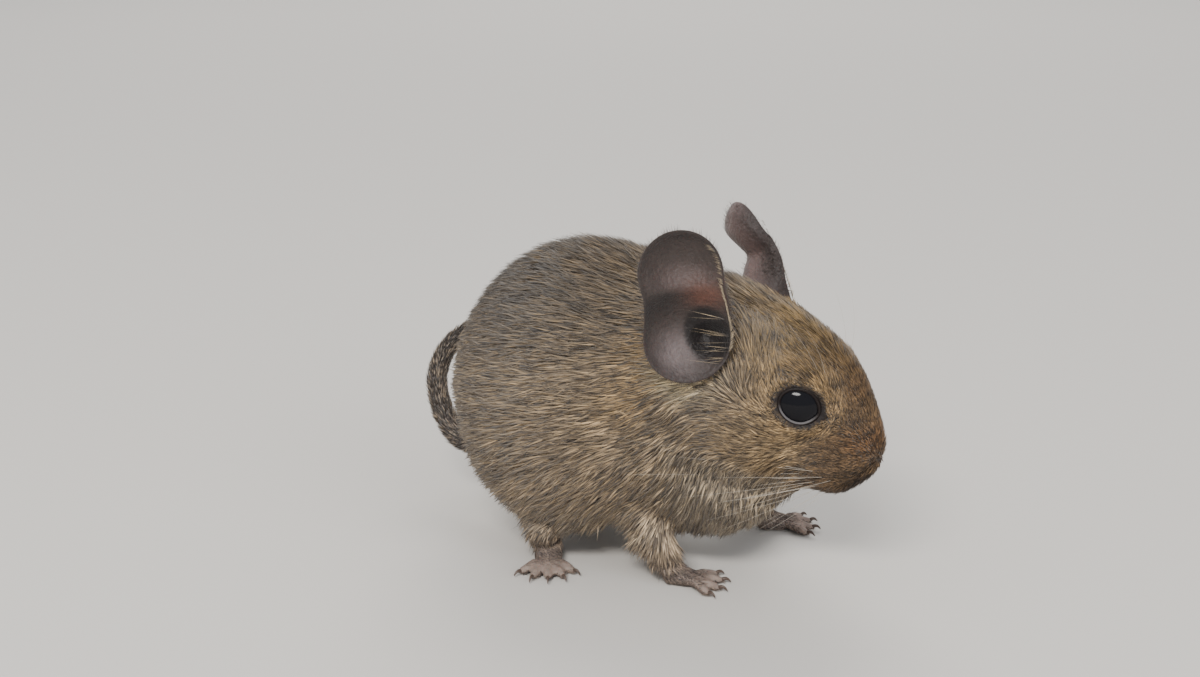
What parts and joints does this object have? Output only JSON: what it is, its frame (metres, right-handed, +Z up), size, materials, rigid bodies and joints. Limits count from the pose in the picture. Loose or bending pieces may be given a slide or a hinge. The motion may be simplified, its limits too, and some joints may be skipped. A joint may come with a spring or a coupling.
{
  "type": "degu",
  "caption": "Young degu standing still on four feet in a crouch, its head turned a little to its right, large round ears up and tail curled round to its left.",
  "frame": {"origin": "middle of the whole model's footprint, on the floor that the feet stand on", "axes": "+X towards the nose along the body, +Y to the animal's left, +Z up"},
  "size_m": [0.0806, 0.0508, 0.0571],
  "materials": {
    "coat": "short soft agouti fur, grey-brown with pale and dark hair tips",
    "ear_skin": "thin bare skin, dark brown outside and pinkish brown inside, with fine pale hairs at the rim",
    "eye": "wet glossy black",
    "foot_skin": "thin grey-pink skin with short pale hairs",
    "tail": "fine dark rings of scaly skin under short dark hairs"
  },
  "bodies": {
    "root": {"head": "coat", "neck": "coat", "torso": "coat", "foreleg_right": "coat", "foreleg_left": "coat", "hindleg_right": "coat", "hindleg_left": "coat", "forefoot_right": "foot_skin", "forefoot_left": "foot_skin", "hindfoot_right": "foot_skin", "hindfoot_left": "foot_skin", "ear_right": "ear_skin", "ear_left": "ear_skin", "eye_right": "eye", "eye_left": "eye", "tail_base": "tail", "tail_middle": "tail", "tail_tip": "tail"}
  },
  "joints": []
}
